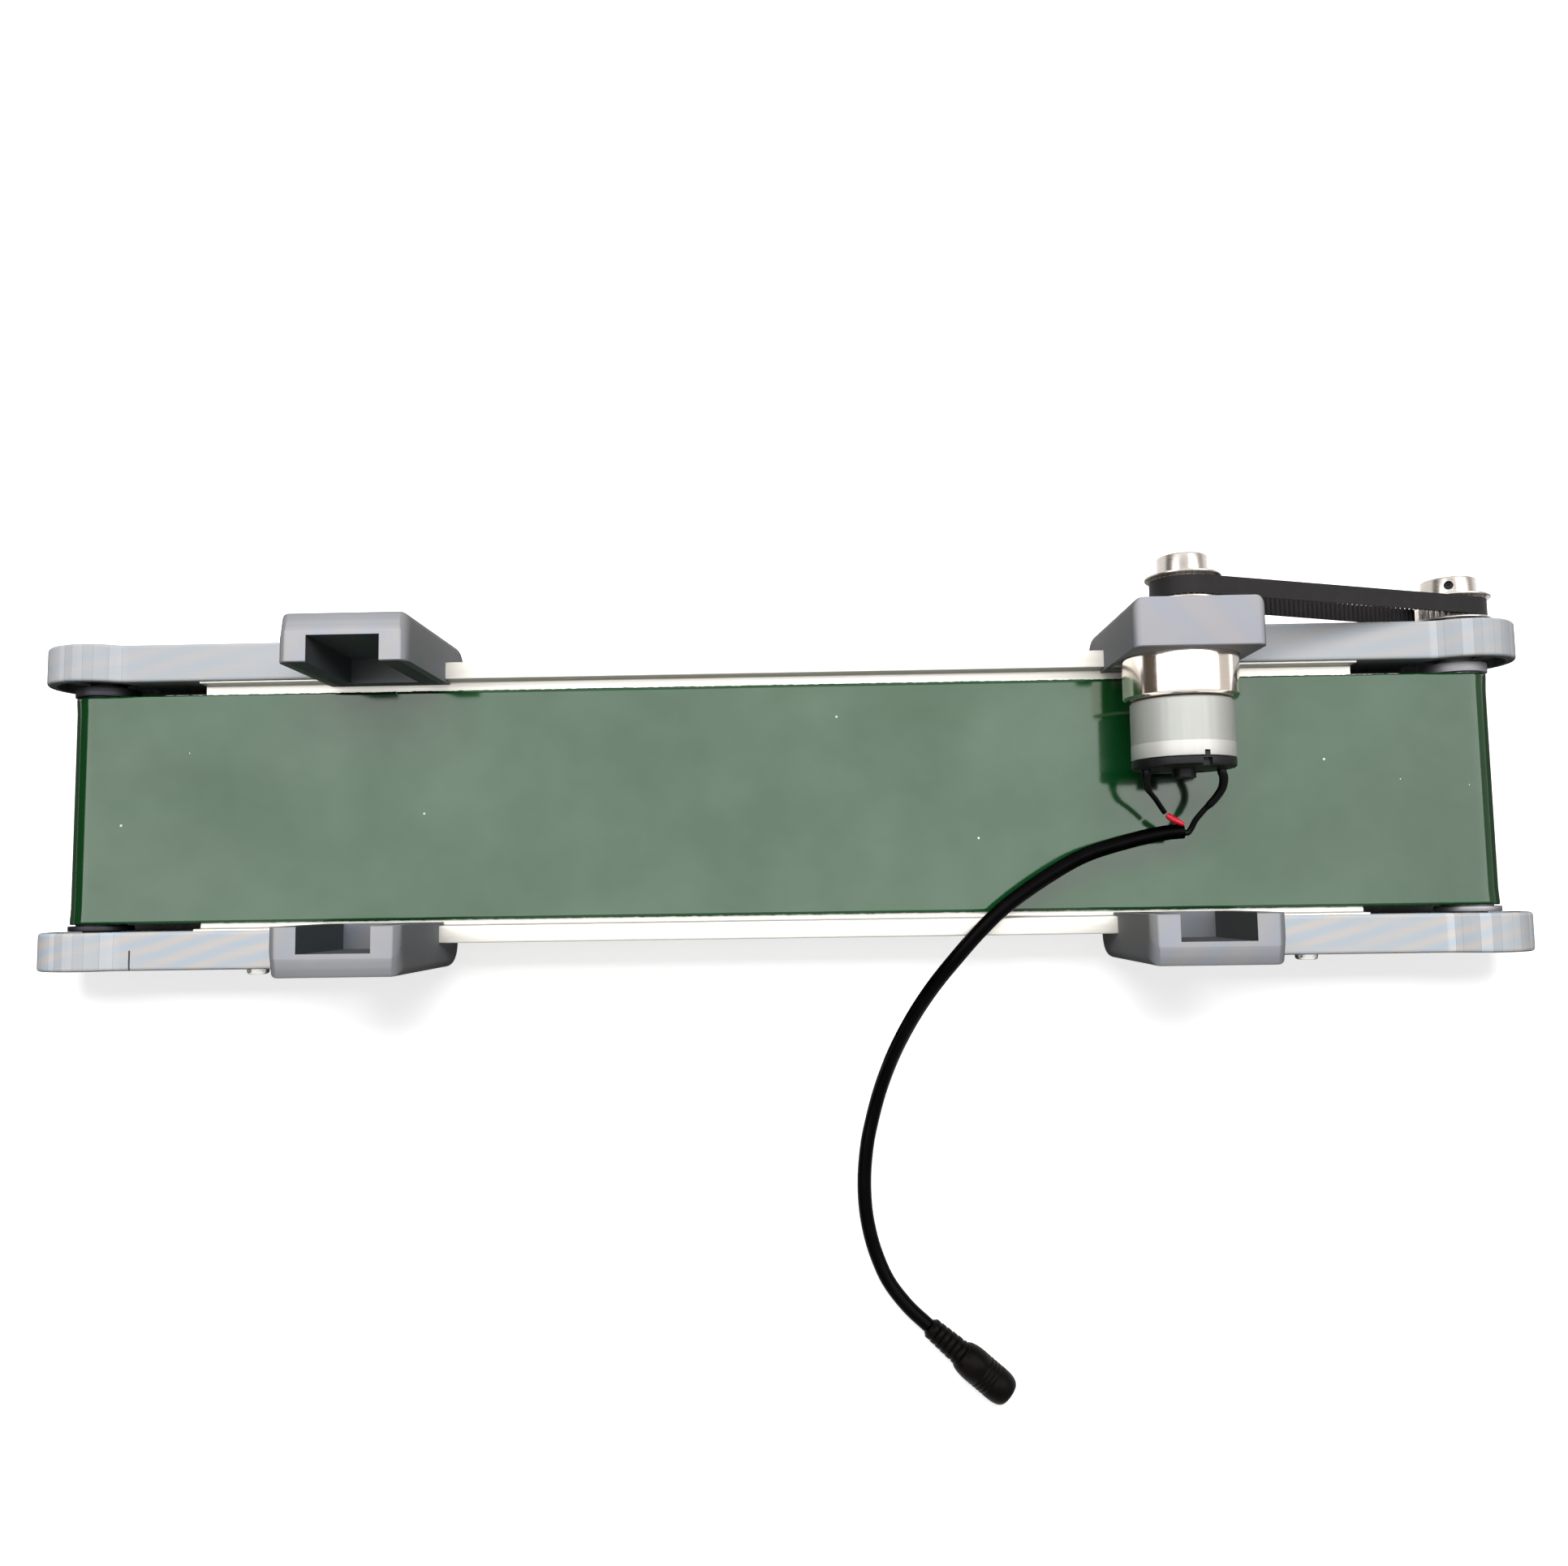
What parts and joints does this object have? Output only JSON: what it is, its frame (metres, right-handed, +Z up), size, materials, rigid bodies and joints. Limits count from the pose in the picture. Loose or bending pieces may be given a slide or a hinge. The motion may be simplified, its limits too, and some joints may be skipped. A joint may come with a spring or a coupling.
{
  "type": "belt conveyor section",
  "caption": "Bench-top belt conveyor: flanged aluminium bed, green belt on end rollers, printed end plates and feet, gearmotor with timing belt drive and power cable.",
  "frame": {"origin": "centre of the footprint without the cable, level with the lowest points of the round plate ends it lies on", "axes": "+X along the conveyor towards the driven roller, +Y across towards the timing drive, +Z up in the pictured pose, with the feet and the gearmotor on top and the carrying run underneath"},
  "size_m": [0.5174, 0.2847, 0.0755],
  "materials": {
    "bed_aluminium": "clear anodised extrusion",
    "printed_grey": "3-D printed, 0.2 mm layers",
    "conveyor_belt": "smooth PVC belt",
    "timing_rubber": "moulded",
    "machined_aluminium": "turned",
    "ground_steel": "ground",
    "screw_steel": "zinc plated",
    "nickel_plate": "nickel plated, polished",
    "motor_can": "satin plated",
    "black_plastic": "moulded",
    "magnet": "sintered",
    "armature": "copper wound laminations",
    "tinned_brass": "tin plated",
    "black_wire": "extruded jacket",
    "red_wire": "extruded insulation"
  },
  "bodies": {
    "frame": {"conveyor_belt": "conveyor_belt", "conveyor_profile": "bed_aluminium", "dc_jack": "black_plastic", "drive_bearing_outer_far": "ground_steel", "drive_bearing_outer_near": "ground_steel", "drive_foot_near": "printed_grey", "drive_foot_near_screw": "screw_steel", "drive_plate_far": "printed_grey", "drive_plate_far_screw_1": "screw_steel", "drive_plate_far_screw_2": "screw_steel", "drive_plate_near": "printed_grey", "drive_plate_near_screw_1": "screw_steel", "drive_plate_near_screw_2": "screw_steel", "field_magnet": "magnet", "gearbox_front_plate": "nickel_plate", "gearbox_housing": "nickel_plate", "lead_left": "black_wire", "lead_right": "black_wire", "motor_bracket": "printed_grey", "motor_bracket_screw": "screw_steel", "motor_can": "motor_can", "motor_end_cap": "black_plastic", "motor_screw_1": "screw_steel", "motor_screw_2": "screw_steel", "motor_screw_3": "screw_steel", "power_cable": "black_wire", "red_sleeve": "red_wire", "strain_relief": "black_plastic", "tail_bearing_outer_far": "ground_steel", "tail_bearing_outer_near": "ground_steel", "tail_foot_far": "printed_grey", "tail_foot_far_screw": "screw_steel", "tail_foot_near": "printed_grey", "tail_foot_near_screw": "screw_steel", "tail_plate_far": "printed_grey", "tail_plate_far_screw_1": "screw_steel", "tail_plate_far_screw_2": "screw_steel", "tail_plate_near": "printed_grey", "tail_plate_near_screw_1": "screw_steel", "tail_plate_near_screw_2": "screw_steel", "terminal_left": "tinned_brass", "terminal_right": "tinned_brass", "timing_belt": "timing_rubber"},
    "drive_roller_set": {"drive_roller": "machined_aluminium", "drive_shaft": "ground_steel", "drive_bearing_inner_far": "ground_steel", "drive_bearing_inner_near": "ground_steel", "roller_pulley": "machined_aluminium", "roller_pulley_set_screw": "screw_steel"},
    "tail_roller_set": {"tail_roller": "machined_aluminium", "tail_shaft": "ground_steel", "tail_bearing_inner_far": "ground_steel", "tail_bearing_inner_near": "ground_steel"},
    "motor_output": {"output_shaft": "ground_steel", "output_gear": "ground_steel", "motor_pulley": "machined_aluminium", "motor_pulley_set_screw": "screw_steel"},
    "lay_shaft": {"lay_gear": "ground_steel"},
    "armature": {"motor_armature": "armature"}
  },
  "joints": [
    {"name": "drive_roller_spin", "type": "hinge", "parent": "frame", "child": "drive_roller_set", "pos_m": [0.23925, -0.00735, 0.0195], "axis": [0, 1, 0], "continuous": true},
    {"name": "tail_roller_spin", "type": "hinge", "parent": "frame", "child": "tail_roller_set", "pos_m": [-0.23925, -0.00735, 0.0195], "axis": [0, 1, 0], "continuous": true},
    {"name": "motor_output_spin", "type": "hinge", "parent": "frame", "child": "motor_output", "pos_m": [0.134, -0.00735, 0.0595], "axis": [0, 1, 0], "continuous": true},
    {"name": "lay_gear_spin", "type": "hinge", "parent": "frame", "child": "lay_shaft", "pos_m": [0.14229, -0.00735, 0.056], "axis": [0, 1, 0], "continuous": true},
    {"name": "armature_spin", "type": "hinge", "parent": "frame", "child": "armature", "pos_m": [0.134, -0.00735, 0.0525], "axis": [0, 1, 0], "continuous": true}
  ],
  "couplings": [
    {"joint": "tail_roller_spin", "follows": "drive_roller_spin", "ratio": 1},
    {"joint": "motor_output_spin", "follows": "drive_roller_spin", "ratio": 1.125},
    {"joint": "lay_gear_spin", "follows": "drive_roller_spin", "ratio": -2.925},
    {"joint": "armature_spin", "follows": "drive_roller_spin", "ratio": 7.605}
  ]
}
